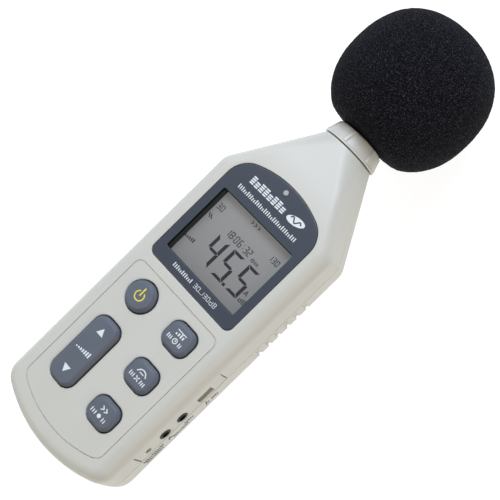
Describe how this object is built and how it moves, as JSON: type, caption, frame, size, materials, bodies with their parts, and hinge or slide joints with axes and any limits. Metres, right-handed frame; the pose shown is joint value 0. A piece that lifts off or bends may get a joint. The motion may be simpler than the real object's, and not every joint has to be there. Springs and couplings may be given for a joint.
{
  "type": "sound level meter",
  "caption": "Hand-held sound level meter: tapered plastic case with a display, rubber keys, side ports, and a microphone tube under a pull-off foam ball windscreen.",
  "frame": {"origin": "centre of the tripod socket's mouth, in the flat back of the case", "axes": "+X to the right of the face, +Y towards the microphone, +Z out of the face; the meter lies on its back"},
  "size_m": [0.07, 0.2545, 0.068],
  "materials": {
    "case_plastic": "satin",
    "collar_plastic": "satin",
    "bezel_plastic": "satin",
    "clear_window": "gloss",
    "black_plastic": "matte",
    "lcd_panel": "satin",
    "light_guide": "satin",
    "contact_rubber": "matte",
    "clear_lens": "gloss",
    "key_rubber": "matte",
    "gold_contacts": "polished",
    "circuit_board": "satin",
    "steel_screws": "satin",
    "brass_insert": "satin",
    "tinned_steel": "satin",
    "blue_trimmer": "satin",
    "cell_jacket": "satin",
    "mic_metal": "satin",
    "lead_jacket": "matte",
    "foam": "matte"
  },
  "bodies": {
    "root": {"front_shell": "case_plastic", "rear_shell": "case_plastic", "case_screws": "steel_screws", "tripod_nut": "brass_insert", "neck_collar": "collar_plastic", "display_bezel": "bezel_plastic", "display_window": "clear_window", "lcd_frame": "black_plastic", "lcd_glass": "lcd_panel", "lcd_backlight": "light_guide", "zebra_strips": "contact_rubber", "status_led": "clear_lens", "keypad_mat": "key_rubber", "key_contacts": "gold_contacts", "main_board": "circuit_board", "board_chips": "black_plastic", "board_screws": "steel_screws", "shield_can": "tinned_steel", "data_socket": "tinned_steel", "output_jack": "black_plastic", "power_jack": "black_plastic", "cal_trimmer": "blue_trimmer", "cell_1": "cell_jacket", "cell_2": "cell_jacket", "cell_3": "cell_jacket", "cell_4": "cell_jacket", "battery_springs": "tinned_steel", "battery_contacts": "tinned_steel", "mic_tube": "mic_metal", "mic_capsule": "mic_metal", "mic_grid": "mic_metal", "mic_seal": "contact_rubber", "mic_board": "circuit_board", "mic_lead": "lead_jacket"},
    "windscreen": {"windscreen": "foam"},
    "power_key": {"power_key": "key_rubber"},
    "level_rocker": {"level_rocker": "key_rubber"},
    "max_key": {"max_key": "key_rubber"},
    "weighting_key": {"weighting_key": "key_rubber"},
    "response_key": {"response_key": "key_rubber"},
    "battery_door": {"battery_door": "case_plastic"},
    "cal_screw": {"cal_screw": "brass_insert"}
  },
  "joints": [
    {"name": "windscreen_pull", "type": "slide", "parent": "root", "child": "windscreen", "axis": [0, 1, 0], "range_m": [0, 0.046]},
    {"name": "power_key_press", "type": "slide", "parent": "root", "child": "power_key", "axis": [0, 0, -1], "range_m": [0, 0.001], "stiffness_N_per_m": 600, "springref_m": -0.0005},
    {"name": "max_key_press", "type": "slide", "parent": "root", "child": "max_key", "axis": [0, 0, -1], "range_m": [0, 0.001], "stiffness_N_per_m": 600, "springref_m": -0.0005},
    {"name": "weighting_key_press", "type": "slide", "parent": "root", "child": "weighting_key", "axis": [0, 0, -1], "range_m": [0, 0.001], "stiffness_N_per_m": 600, "springref_m": -0.0005},
    {"name": "response_key_press", "type": "slide", "parent": "root", "child": "response_key", "axis": [0, 0, -1], "range_m": [0, 0.001], "stiffness_N_per_m": 600, "springref_m": -0.0005},
    {"name": "level_rocker_tilt", "type": "hinge", "parent": "root", "child": "level_rocker", "pos_m": [-0.013, -0.0583, 0.0317], "axis": [1, 0, 0], "range_deg": [-3.5, 3.5], "stiffness_Nm_per_rad": 0.3},
    {"name": "battery_door_swing", "type": "hinge", "parent": "root", "child": "battery_door", "pos_m": [0, -0.082, 0], "axis": [-1, 0, 0], "range_deg": [0, 40]},
    {"name": "cal_screw_turn", "type": "hinge", "parent": "root", "child": "cal_screw", "pos_m": [0.03, -0.0678, 0.0222], "axis": [1, 0, 0], "range_deg": [-135, 135]}
  ]
}
